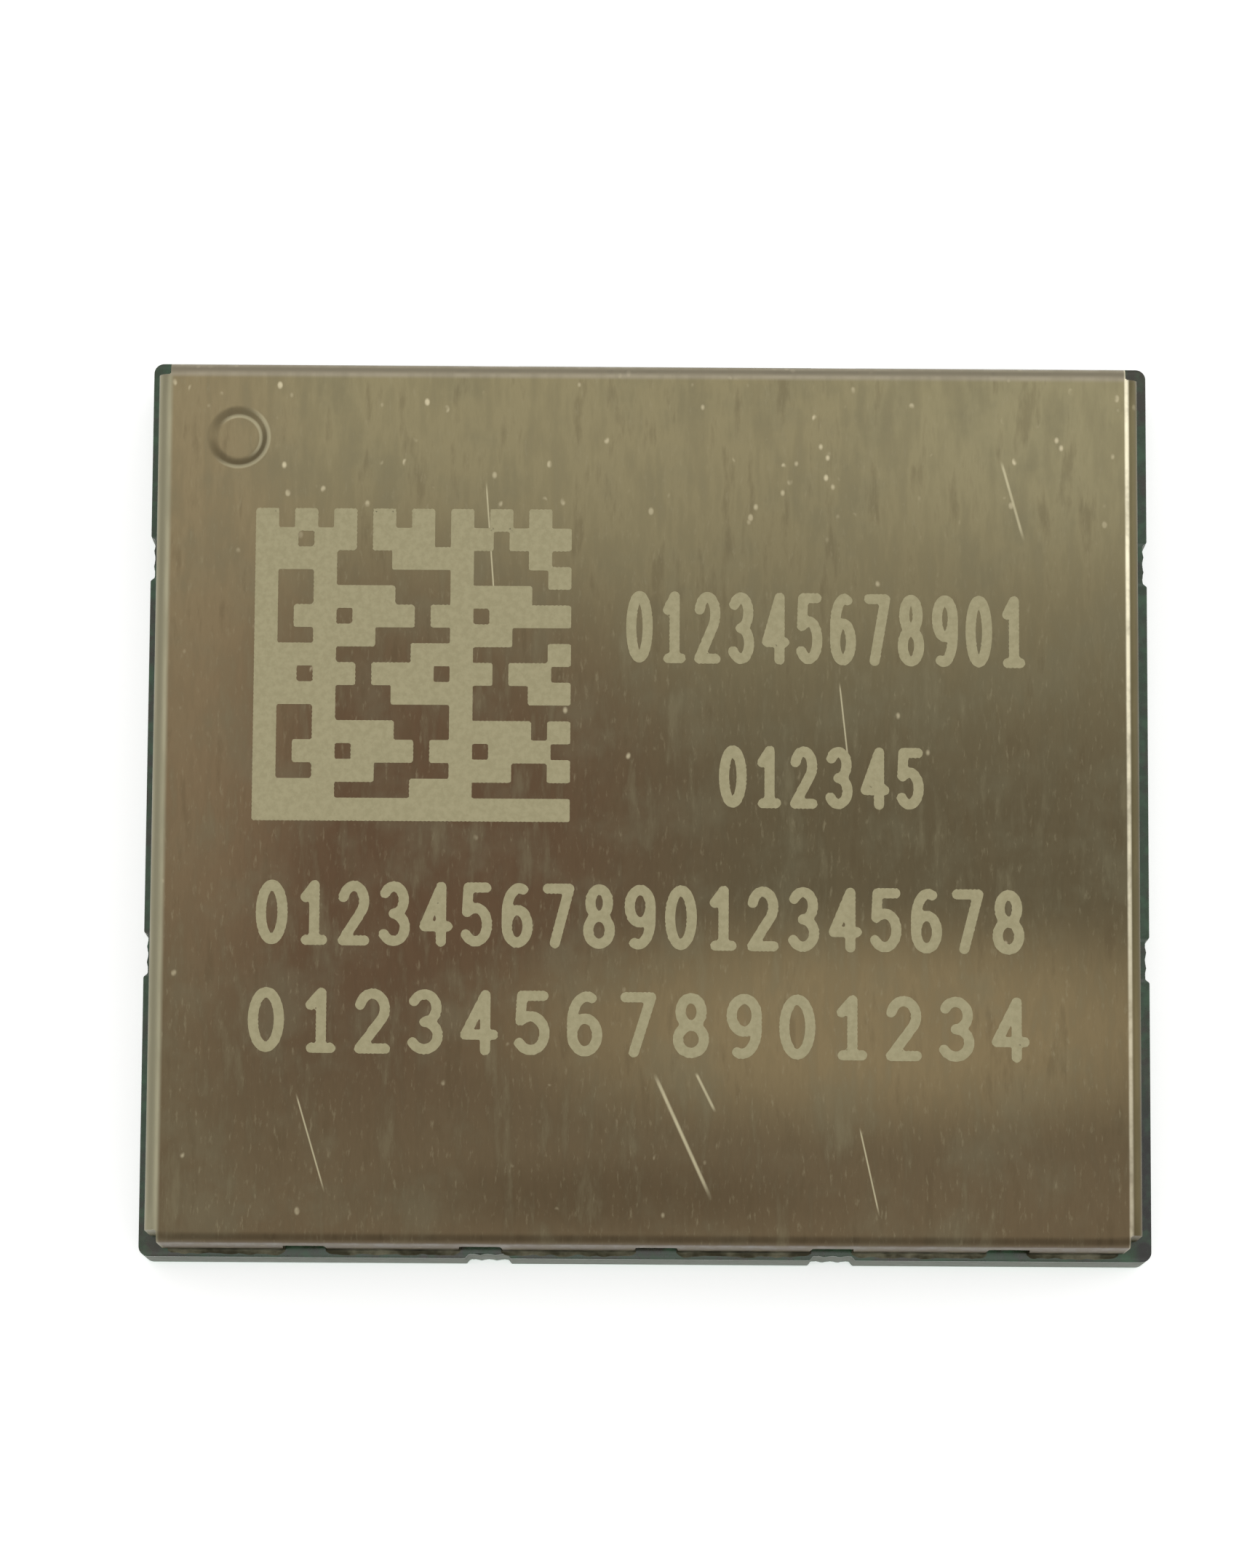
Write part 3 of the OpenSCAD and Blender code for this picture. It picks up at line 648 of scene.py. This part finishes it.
def solder_piece(material):
    rng = np.random.default_rng(23)
    weld = Welder()
    places = [
        (lambda s, o, z: (s, -(CAN_D - SHEET_T) / 2 + o, BOARD_T + z), LONG_NOTCHES, LONG_WALL_X),
        (lambda s, o, z: (s, (CAN_D - SHEET_T) / 2 - o, BOARD_T + z), LONG_NOTCHES, LONG_WALL_X),
        (lambda s, o, z: ((CAN_W - SHEET_T) / 2 - o, s, BOARD_T + z), SHORT_NOTCHES, SHORT_WALL_Y),
        (lambda s, o, z: (-(CAN_W - SHEET_T) / 2 + o, s, BOARD_T + z), SHORT_NOTCHES, SHORT_WALL_Y),
    ]
    for place, notches, wall_end in places:
        reach = wall_end - SOLDER_TOE
        starts = [-reach, *[c + NOTCH_W / 2 for c in notches]]
        ends = [*[c - NOTCH_W / 2 for c in notches], reach]
        for start, end in zip(starts, ends):
            fillet_run(weld, place, start, end, rng)
    bmesh.ops.recalc_face_normals(weld.bm, faces=weld.bm.faces)
    finished("foot_solder", weld.bm, material, ["shield_solder"], (), 50, CAN_AT)


# ---- Materials ----


class Graph:
    """A material's node tree with short calls. Values or sockets go in, sockets come out."""

    def __init__(self, name, origin=(0, 0)):
        self.material = bpy.data.materials.new(name)
        self.material.use_nodes = True
        self.tree = self.material.node_tree
        self.shader = next(n for n in self.tree.nodes if n.type == "BSDF_PRINCIPLED")
        coordinates = self.tree.nodes.new("ShaderNodeTexCoord")
        scaled = self.node("ShaderNodeVectorMath", {0: coordinates.outputs["Object"], "Scale": 1 / MM}, operation="SCALE")
        middle = (*origin, 0)
        self.mm = self.node("ShaderNodeVectorMath", {0: scaled.outputs[0], 1: middle}, operation="SUBTRACT").outputs[0]
        parts = self.node("ShaderNodeSeparateXYZ", {0: self.mm})
        self.x, self.y, self.z = parts.outputs

    def node(self, kind, inputs=None, **settings):
        made = self.tree.nodes.new(kind)
        for key, value in settings.items():
            setattr(made, key, value)
        for key, value in (inputs or {}).items():
            self.put(made.inputs[key], value)
        return made

    def put(self, socket, value):
        if isinstance(value, bpy.types.NodeSocket):
            self.tree.links.new(value, socket)
        else:
            socket.default_value = value

    def stretched(self, x, y, z):
        return self.node("ShaderNodeVectorMath", {0: self.mm, 1: (x, y, z)}, operation="MULTIPLY").outputs[0]

    def noise(self, vector, scale, detail=3.0, roughness=0.55, seed=0.0):
        inputs = {"Vector": vector, "W": seed, "Scale": scale, "Detail": detail, "Roughness": roughness}
        return self.node("ShaderNodeTexNoise", inputs, noise_dimensions="4D").outputs[0]

    def math(self, operation, a, b=0.0, clamp=False):
        return self.node("ShaderNodeMath", {0: a, 1: b}, operation=operation, use_clamp=clamp).outputs[0]

    def span(self, value, lo, hi, out_lo=0.0, out_hi=1.0):
        """value from lo to hi becomes out_lo to out_hi, held at the ends and eased between."""
        inputs = {"Value": value, "From Min": lo, "From Max": hi, "To Min": out_lo, "To Max": out_hi}
        return self.node("ShaderNodeMapRange", inputs, interpolation_type="SMOOTHSTEP").outputs[0]

    def mix(self, share, a, b, blend="MIX"):
        made = self.node("ShaderNodeMix", {}, data_type="RGBA", blend_type=blend)
        self.put(made.inputs[0], share)
        self.put(made.inputs[6], a if isinstance(a, bpy.types.NodeSocket) else (*a, 1))
        self.put(made.inputs[7], b if isinstance(b, bpy.types.NodeSocket) else (*b, 1))
        return made.outputs[2]

    def bump(self, height, distance, normal=None, strength=1.0):
        inputs = {"Height": height, "Distance": distance * MM, "Strength": strength}
        if normal is not None:
            inputs["Normal"] = normal
        return self.node("ShaderNodeBump", inputs).outputs[0]

    def near_segment(self, a, b, width):
        """1 on a straight scratch from a to b, fading to 0 at its width and its ends."""
        ax, ay = a
        dx, dy = b[0] - a[0], b[1] - a[1]
        length = math.hypot(dx, dy)
        ux, uy = dx / length, dy / length
        px = self.math("SUBTRACT", self.x, ax)
        py = self.math("SUBTRACT", self.y, ay)
        along = self.math("ADD", self.math("MULTIPLY", px, ux), self.math("MULTIPLY", py, uy))
        across = self.math("SUBTRACT", self.math("MULTIPLY", px, uy), self.math("MULTIPLY", py, ux))
        near = self.span(self.math("ABSOLUTE", across), 0.2 * width, width, 1, 0)
        begun = self.span(along, 0.0, 0.12 * length)
        left = self.span(along, 0.8 * length, length, 1, 0)
        return self.math("MULTIPLY", near, self.math("MULTIPLY", begun, left))

    def blob(self, at, rx, ry, soft=0.5):
        """1 inside an ellipse, fading out over a share of its radius."""
        px = self.math("DIVIDE", self.math("SUBTRACT", self.x, at[0]), rx)
        py = self.math("DIVIDE", self.math("SUBTRACT", self.y, at[1]), ry)
        r = self.math("SQRT", self.math("ADD", self.math("MULTIPLY", px, px), self.math("MULTIPLY", py, py)))
        return self.span(r, 1 - soft, 1 + soft, 1, 0)

    def surface(self, **values):
        for key, value in values.items():
            socket = self.shader.inputs[key.replace("_", " ")]
            if isinstance(value, tuple) and len(value) == 3:
                value = (*value, 1)
            self.put(socket, value)
        return self.material


def linear(r, g, b):
    """A colour written as 0-255 display values, made linear."""
    out = []
    for c in (r, g, b):
        c /= 255
        out.append(c / 12.92 if c <= 0.04045 else ((c + 0.055) / 1.055) ** 2.4)
    return tuple(out)


def spots(g, scale, size, seed, where):
    """Round specks of one size, a few to the millimetre, in the parts that a mask leaves open."""
    cells = g.node("ShaderNodeTexVoronoi", {"Vector": g.stretched(1, 0.7, 1), "Scale": scale, "Randomness": 1.0})
    grain = g.noise(g.mm, 3.1, 2, 0.5, seed)
    near = g.span(cells.outputs["Distance"], size * 0.4, size, 1, 0)
    return g.math("MULTIPLY", near, g.math("MULTIPLY", g.span(grain, 0.52, 0.6), where))


def dimple_ring_highlight(g, radius, width, turn):
    """A painted highlight line round the dimple, on the side that turn (in radians) points to."""
    px = g.math("SUBTRACT", g.x, DIMPLE_AT[0])
    py = g.math("SUBTRACT", g.y, DIMPLE_AT[1])
    r = g.math("SQRT", g.math("ADD", g.math("MULTIPLY", px, px), g.math("MULTIPLY", py, py)))
    facing = g.math("ADD", g.math("MULTIPLY", px, math.cos(turn)), g.math("MULTIPLY", py, math.sin(turn)))
    line = g.span(g.math("ABSOLUTE", g.math("SUBTRACT", r, radius)), 0.2 * width, width, 1, 0)
    return g.math("MULTIPLY", line, g.span(g.math("DIVIDE", facing, radius), -0.4, 0.5))


def tarnish_and_painted_reflection(g):
    """Olive brown, partly tarnish and partly painted reflection: paler towards the back and darker at the front, with a
    redder and some paler patches where reflections of the surroundings are painted in.
    """
    # Painted reflection: the front-to-back gradient and the patches below stand in for the surroundings reflected in
    # the sheet.
    base = g.mix(g.span(g.y, -0.4, 4.3), linear(84, 75, 56), linear(130, 121, 92))
    base = g.mix(g.span(g.y, -4.4, -1.4, 0.8, 0), base, linear(94, 80, 60))
    base = g.mix(g.math("MULTIPLY", g.blob((-2.6, -0.3), 2.6, 2.4, 0.6), 0.75), base, linear(84, 63, 47))
    base = g.mix(g.math("MULTIPLY", g.blob((-4.6, 1.8), 1.0, 3.4, 0.8), 0.6), base, linear(124, 108, 82))
    base = g.mix(g.math("MULTIPLY", g.blob((2.4, -2.2), 3.2, 0.85, 0.6), 0.75), base, linear(124, 109, 80))
    base = g.mix(g.math("MULTIPLY", g.blob((-0.4, -3.9), 1.9, 0.3, 0.7), 0.6), base, linear(74, 62, 45))
    return g.mix(g.math("MULTIPLY", g.blob((4.2, 4.0), 1.8, 1.2, 0.8), 0.4), base, linear(142, 136, 106))


def painted_bend_light(g, base):
    """Painted light on the bends: paler round the left and back bends as if lit, darker round the right bend as if
    shaded, and a painted highlight along the right crease.
    """
    # This noise breaks up the painted crease highlight along its length.
    worn = g.noise(g.mm, 5, 3, 0.6, 51)
    left = g.span(g.x, -TOP_X, -TOP_X + 0.05, 1, 0)
    back = g.span(g.y, TOP_Y - 0.05, TOP_Y, 0, 1)
    right = g.span(g.x, TOP_X, TOP_X + 0.04, 0, 1)
    # Painted light on the left and back bends, painted shade on the right bend.
    base = g.mix(g.math("MULTIPLY", left, 0.8), base, linear(150, 146, 122))
    base = g.mix(g.math("MULTIPLY", back, 0.8), base, linear(146, 138, 120))
    base = g.mix(g.math("MULTIPLY", right, 0.7), base, linear(100, 92, 66))
    # Painted highlight: a bright line along the right crease, stronger towards the back.
    crease = g.span(g.math("ABSOLUTE", g.math("SUBTRACT", g.x, TOP_X)), 0.008, 0.03, 1, 0)
    strength = g.math("MULTIPLY", g.span(g.y, -4.5, 3.5, 0.35, 0.95), g.span(worn, 0.3, 0.6, 0.6, 1))
    return g.mix(g.math("MULTIPLY", crease, strength), base, linear(236, 228, 200))


def can_material():
    g = Graph("brushed_nickel_silver", CAN_AT)
    smear = g.noise(g.stretched(6, 1.3, 2), 1, 4, 0.6, 1)
    fine = g.noise(g.stretched(26, 7, 6), 1, 4, 0.65, 2)
    blotch = g.noise(g.mm, 1.6, 4, 0.6, 3)
    # The sheet's colour, with painted reflection in it.
    base = tarnish_and_painted_reflection(g)
    base = g.mix(g.span(blotch, 0.45, 0.7, 0, 0.3), base, linear(104, 100, 80))
    base = g.mix(g.span(smear, 0.5, 0.75, 0, 0.35), base, linear(132, 124, 98))
    base = g.mix(g.span(smear, 0.3, 0.48, 0.35, 0), base, linear(66, 56, 40))
    base = g.mix(g.span(fine, 0.55, 0.75, 0, 0.3), base, linear(140, 132, 106))
    everywhere = spots(g, 3.2, 0.11, 41, 0.6)
    at_back = spots(g, 6.5, 0.22, 42, g.span(g.y, 2.2, 3.6))
    base = g.mix(g.math("MAXIMUM", everywhere, at_back), base, linear(186, 176, 146))
    scratches = [
        ((0.09, -2.68), (0.67, -3.95), 0.025), ((0.5, -2.68), (0.7, -3.08), 0.02),
        ((3.5, 3.43), (3.73, 2.6), 0.02), ((-1.6, 3.2), (-1.5, 1.9), 0.012), ((2.1, -3.2), (2.3, -4.1), 0.012),
        ((-3.4, -2.9), (-3.1, -3.9), 0.012), ((1.9, 1.2), (2.0, 0.3), 0.012),
    ]
    cut = None
    for a, b, width in scratches:
        one = g.near_segment(a, b, width)
        cut = one if cut is None else g.math("MAXIMUM", cut, one)
    # Painted highlights on the dimple's two rims, lightened in one pale colour together with the real scratches.
    rim = g.math("MAXIMUM", dimple_ring_highlight(g, DIMPLE_R, 0.03, -0.6), dimple_ring_highlight(g, DIMPLE_FLOOR_R, 0.025, 0.7))
    # Painted light and shade on the bends, and a painted highlight on the right crease.
    base = painted_bend_light(g, base)
    base = g.mix(g.math("MULTIPLY", g.math("MAXIMUM", cut, rim), 0.6), base, linear(190, 182, 150))
    height = g.math("SUBTRACT", g.math("ADD", g.math("MULTIPLY", fine, 0.5), smear), g.math("MULTIPLY", cut, 1.5))
    return g.surface(
        Base_Color=base, Metallic=1.0, Roughness=g.span(smear, 0.3, 0.7, 0.4, 0.54),
        Normal=g.bump(height, 0.002, strength=0.4)
    )


def marking_materials():
    """The laser's even fill, and the brighter border that its outline pass leaves."""
    made = []
    shades = [((148, 140, 106), (164, 156, 122)), ((170, 163, 128), (190, 183, 150))]
    for name, (low, high) in zip(("laser_fill", "laser_border"), shades):
        g = Graph(name, CAN_AT)
        grain = g.noise(g.mm, 16, 4, 0.65, 6)
        base = g.mix(g.span(grain, 0.35, 0.65), linear(*low), linear(*high))
        made.append(g.surface(
            Base_Color=base, Metallic=0.3, Roughness=g.span(grain, 0.3, 0.7, 0.55, 0.75), Normal=g.bump(grain, 0.003)
        ))
    return made


def mask_material():
    g = Graph("solder_mask_green")
    drift = g.noise(g.mm, 0.8, 3, 0.5, 7)
    weave = g.noise(g.mm, 9, 3, 0.5, 8)
    below = g.span(g.z, 0.1, 0.2, 1, 0)
    under = g.mix(g.span(drift, 0.35, 0.65), linear(0, 112, 62), linear(0, 138, 84))
    rim = g.math("MAXIMUM", g.span(g.math("ABSOLUTE", g.x), 4.72, 4.8), g.span(g.math("ABSOLUTE", g.y), 4.22, 4.3))
    under = g.mix(g.math("MULTIPLY", rim, 0.6), under, linear(20, 160, 105))
    flux = g.span(g.noise(g.mm, 3.2, 4, 0.65, 9), 0.42, 0.62)
    # Painted shade: the top mask is much darker than the same green mask below, as it looks in the can's shade, with
    # real flux stains on it; nearly black at the right edge towards the front.
    above = g.mix(flux, linear(26, 56, 26), linear(40, 38, 20))
    above = g.mix(g.math("MULTIPLY", g.span(g.x, 4.8, 4.9), g.span(g.y, -3.2, -2.6, 1, 0)), above, linear(20, 20, 10))
    base = g.mix(below, above, under)
    base = g.mix(g.span(weave, 0.45, 0.7, 0, 0.15), base, linear(60, 130, 80))
    return g.surface(
        Base_Color=base, Roughness=g.span(weave, 0.3, 0.7, 0.22, 0.34), Coat_Weight=0.3, Coat_Roughness=0.12,
        Normal=g.bump(weave, 0.003, strength=0.5)
    )


def laminate_material():
    g = Graph("glass_fibre_laminate")
    plies = g.node(
        "ShaderNodeTexWave", {"Vector": g.mm, "Scale": 3.2, "Distortion": 1.5, "Detail": 3.0, "Detail Scale": 4.0},
        wave_type="BANDS", bands_direction="Z",
    ).outputs[1]
    fibre = g.noise(g.stretched(6, 6, 40), 1, 4, 0.6, 10)
    base = g.mix(plies, linear(88, 94, 82), linear(112, 116, 104))
    base = g.mix(g.span(fibre, 0.45, 0.75, 0, 0.7), base, linear(70, 84, 62))
    return g.surface(Base_Color=base, Roughness=g.span(fibre, 0.3, 0.7, 0.55, 0.75), Normal=g.bump(fibre, 0.006))


def gold_material():
    g = Graph("immersion_gold")
    grain = g.noise(g.mm, 30, 3, 0.6, 12)
    drift = g.noise(g.mm, 1.4, 2, 0.5, 13)
    base = g.mix(g.span(drift, 0.35, 0.65), linear(246, 226, 158), linear(252, 240, 186))
    base = g.mix(g.span(grain, 0.5, 0.75, 0, 0.25), base, linear(222, 196, 128))
    return g.surface(
        Base_Color=base, Metallic=1.0, Roughness=g.span(grain, 0.3, 0.7, 0.3, 0.42), Normal=g.bump(grain, 0.002)
    )


def solder_material():
    g = Graph("reflowed_solder")
    lumps = g.noise(g.mm, 7, 4, 0.6, 14)
    flux = g.span(g.noise(g.mm, 2.6, 4, 0.6, 15), 0.42, 0.6)
    base = g.mix(g.span(lumps, 0.3, 0.7), linear(74, 72, 54), linear(112, 108, 88))
    base = g.mix(g.math("MULTIPLY", flux, 0.85), base, linear(44, 40, 22))
    return g.surface(
        Base_Color=base, Metallic=0.8, Roughness=g.span(lumps, 0.3, 0.7, 0.3, 0.5), Normal=g.bump(lumps, 0.01)
    )


def plain_material(name, dark, light, rough, metallic=0.0, grain_scale=18.0, bump=0.004, coat=0.0, seed=20.0):
    """Two near shades in fine grain: for the small parts that the can hides."""
    g = Graph(name)
    grain = g.noise(g.mm, grain_scale, 4, 0.6, seed)
    drift = g.noise(g.mm, 1.3, 2, 0.5, seed + 1)
    base = g.mix(g.span(g.math("ADD", g.math("MULTIPLY", grain, 0.6), g.math("MULTIPLY", drift, 0.4)), 0.38, 0.62), dark, light)
    return g.surface(
        Base_Color=base, Metallic=metallic, Roughness=g.span(grain, 0.3, 0.7, rough - 0.06, rough + 0.08),
        Coat_Weight=coat, Normal=g.bump(grain, bump)
    )


def dress_hidden_parts(gold):
    moulded = plain_material("moulding_compound", linear(34, 34, 36), linear(52, 52, 54), 0.6, seed=21)
    tin = plain_material("matt_tin", linear(176, 176, 170), linear(208, 208, 202), 0.42, 0.9, 24, 0.003, seed=23)
    ceramic = plain_material("fired_ceramic", linear(206, 198, 178), linear(228, 222, 206), 0.45, seed=25)
    lid = plain_material("plated_lid", linear(178, 172, 160), linear(204, 198, 188), 0.3, 1.0, 34, 0.002, seed=27)
    ferrite = plain_material("grey_ferrite", linear(62, 62, 66), linear(88, 88, 90), 0.7, seed=29)
    capacitor = plain_material("tan_ceramic", linear(150, 120, 84), linear(182, 150, 110), 0.38, coat=0.2, seed=31)
    balls = plain_material("solder_balls", linear(150, 150, 145), linear(190, 190, 184), 0.35, 0.9, seed=33)
    worn = {
        "pin_one_land": gold, "radio_chip": moulded, "radio_chip_balls": balls, "front_end_chip": moulded,
        "front_end_pads": tin, "antenna_switch": moulded, "antenna_switch_pads": tin, "filter_block": ceramic,
        "filter_terminals": tin, "crystal_case": ceramic, "crystal_lid": lid, "crystal_pads": tin,
        "inductor_cores": ferrite, "inductor_end_caps": tin, "large_capacitor_bodies": capacitor,
        "large_capacitor_end_caps": tin, "small_capacitor_bodies": capacitor, "small_capacitor_end_caps": tin,
        "resistor_bodies": ceramic, "resistor_coats": moulded, "resistor_end_caps": tin,
    }
    for node, material in worn.items():
        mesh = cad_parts[node].data
        mesh.materials.clear()
        mesh.materials.append(material)


# ---- Floor, light and camera ----

FLOOR_HALF = 0.5
IMAGE_H = 2156
SENSOR_MM = 36.0
CAMERA_TILT_DEG = 8.46
CAMERA_AZIMUTH_DEG = -0.2
CAMERA_ROLL_DEG = 0.354
CAMERA_DISTANCE_MM = 57.7
FOCAL_PX = 8067.0
AIM_MM = (-0.201, 0.109, CAN_TOP)


def stage_material():
    g = Graph("white_floor")
    tree = g.tree
    grain = g.noise(g.mm, 0.2, 2, 0.5, 40)
    base = g.mix(grain, linear(232, 232, 231), linear(238, 238, 237))
    g.surface(Base_Color=base, Roughness=0.9)
    path = tree.nodes.new("ShaderNodeLightPath")
    seen = g.math("MAXIMUM", path.outputs["Is Camera Ray"], path.outputs["Is Glossy Ray"])
    glow = g.node("ShaderNodeEmission", {"Color": (1, 1, 1, 1), "Strength": g.math("MULTIPLY", seen, 0.4)})
    both = g.node("ShaderNodeAddShader", {0: g.shader.outputs[0], 1: glow.outputs[0]})
    output = next(n for n in tree.nodes if n.type == "OUTPUT_MATERIAL")
    tree.links.new(both.outputs[0], output.inputs[0])
    return g.material


def make_floor():
    bm = bmesh.new()
    bmesh.ops.create_grid(bm, x_segments=1, y_segments=1, size=FLOOR_HALF)
    mesh = bpy.data.meshes.new("floor")
    bm.to_mesh(mesh)
    bm.free()
    floor = bpy.data.objects.new("floor", mesh)
    floor.location.z = -0.00002
    mesh.materials.append(stage_material())
    bpy.context.scene.collection.objects.link(floor)


def area_light(name, place, aim, size, watts, colour=(1, 1, 1)):
    light = bpy.data.lights.new(name, "AREA")
    light.shape = "RECTANGLE"
    light.size, light.size_y = size
    light.energy = watts
    light.color = colour
    lamp = bpy.data.objects.new(name, light)
    lamp.location = place
    lamp.rotation_euler = (Vector(aim) - Vector(place)).to_track_quat("-Z", "Y").to_euler()
    bpy.context.scene.collection.objects.link(lamp)


def make_lights():
    world = bpy.data.worlds.new("studio")
    world.use_nodes = True
    background = world.node_tree.nodes["Background"]
    background.inputs["Color"].default_value = (1, 1, 1, 1)
    background.inputs["Strength"].default_value = 0.75
    bpy.context.scene.world = world
    area_light("overhead", (0.0, 0.03, 0.25), (0, 0, 0), (0.22, 0.22), 0.15)
    area_light("right_strip", (0.16, 0.02, 0.06), (0, 0, 0), (0.06, 0.2), 0.05)
    area_light("left_fill", (-0.18, -0.06, 0.1), (0, 0, 0), (0.1, 0.2), 0.03)


def make_camera():
    tilt, azimuth, roll = (math.radians(a) for a in (CAMERA_TILT_DEG, CAMERA_AZIMUTH_DEG, CAMERA_ROLL_DEG))
    back = Vector((math.sin(azimuth) * math.sin(tilt), -math.cos(azimuth) * math.sin(tilt), math.cos(tilt)))
    right = Vector((0, 1, 0)).cross(back).normalized()
    up = back.cross(right)
    rolled_right = math.cos(roll) * right + math.sin(roll) * up
    rolled_up = -math.sin(roll) * right + math.cos(roll) * up
    data = bpy.data.cameras.new("camera")
    data.sensor_width = SENSOR_MM
    data.lens = FOCAL_PX / IMAGE_H * SENSOR_MM
    data.clip_start, data.clip_end = 0.001, 2.0
    camera = bpy.data.objects.new("camera", data)
    place = (Vector(AIM_MM) + back * CAMERA_DISTANCE_MM) * MM
    axes = Matrix((rolled_right, rolled_up, back)).transposed()
    camera.matrix_world = Matrix.Translation(place) @ axes.to_4x4()
    bpy.context.scene.collection.objects.link(camera)
    bpy.context.scene.camera = camera


def build():
    make_camera()
    gold = gold_material()
    can_piece(can_material())
    marks = marking_materials()
    code_piece(marks)
    digits_piece(marks)
    board_pieces(laminate_material(), mask_material())
    lands_piece(gold)
    solder_piece(solder_material())
    dress_hidden_parts(gold)
    make_floor()
    make_lights()
    bpy.context.scene.view_settings.view_transform = "Standard"


build()
